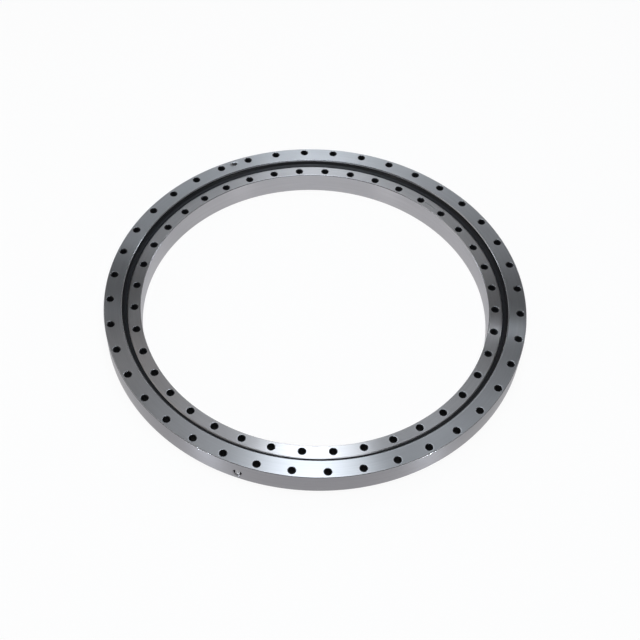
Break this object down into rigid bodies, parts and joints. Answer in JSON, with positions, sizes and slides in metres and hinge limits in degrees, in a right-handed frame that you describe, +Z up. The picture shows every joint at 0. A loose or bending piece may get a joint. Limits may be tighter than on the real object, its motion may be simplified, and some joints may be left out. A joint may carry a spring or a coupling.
{
  "type": "slewing ring bearing",
  "caption": "Flat slewing ring bearing: two steel rings with through bolt holes, crossed rollers between them, rubber lip seals and grease ports.",
  "frame": {"origin": "centre of the face that the bearing stands on: the inner ring's lower face, on the slewing axis", "axes": "+Z up along the slewing axis, +X through a bolt hole of the outer ring"},
  "size_m": [0.814, 0.814, 0.056],
  "materials": {
    "ring_steel": "fine-turned bare steel, concentric turning marks",
    "roller_steel": "ground bearing steel, oiled",
    "spacer_plastic": "natural polyamide",
    "pin_steel": "ground steel pin",
    "nipple_steel": "bright zinc-plated steel",
    "seal_rubber": "black nitrile rubber, moulded"
  },
  "bodies": {
    "inner": {"inner_ring": "ring_steel", "upper_seal": "seal_rubber"},
    "outer": {"outer_ring": "ring_steel", "lower_seal": "seal_rubber", "filling_plug": "ring_steel", "plug_taper_pin": "pin_steel", "grease_nipple_1": "nipple_steel", "grease_nipple_2": "nipple_steel", "grease_nipple_3": "nipple_steel", "grease_nipple_4": "nipple_steel"},
    "roller_set": {"rollers_and_spacers_01": "roller_steel", "rollers_and_spacers_02": "roller_steel", "rollers_and_spacers_03": "roller_steel", "rollers_and_spacers_04": "roller_steel", "rollers_and_spacers_05": "roller_steel", "rollers_and_spacers_06": "roller_steel", "rollers_and_spacers_07": "roller_steel", "rollers_and_spacers_08": "roller_steel", "rollers_and_spacers_09": "roller_steel", "rollers_and_spacers_10": "roller_steel", "rollers_and_spacers_11": "roller_steel", "rollers_and_spacers_12": "roller_steel", "rollers_and_spacers_13": "roller_steel", "rollers_and_spacers_14": "roller_steel", "rollers_and_spacers_15": "roller_steel", "rollers_and_spacers_16": "roller_steel", "rollers_and_spacers_17": "roller_steel", "rollers_and_spacers_18": "roller_steel", "rollers_and_spacers_19": "roller_steel", "rollers_and_spacers_20": "roller_steel", "rollers_and_spacers_21": "roller_steel", "rollers_and_spacers_22": "roller_steel", "rollers_and_spacers_23": "roller_steel", "rollers_and_spacers_24": "roller_steel", "rollers_and_spacers_25": "roller_steel", "rollers_and_spacers_26": "roller_steel", "rollers_and_spacers_27": "roller_steel", "rollers_and_spacers_28": "roller_steel", "rollers_and_spacers_29": "roller_steel", "rollers_and_spacers_30": "roller_steel"}
  },
  "joints": [
    {"name": "slew", "type": "hinge", "parent": "inner", "child": "outer", "pos_m": [0, 0, 0.028], "axis": [0, 0, 1], "continuous": true},
    {"name": "roller_set_orbit", "type": "hinge", "parent": "inner", "child": "roller_set", "pos_m": [0, 0, 0.028], "axis": [0, 0, 1], "continuous": true}
  ],
  "couplings": [
    {"joint": "roller_set_orbit", "follows": "slew", "ratio": 0.5}
  ]
}
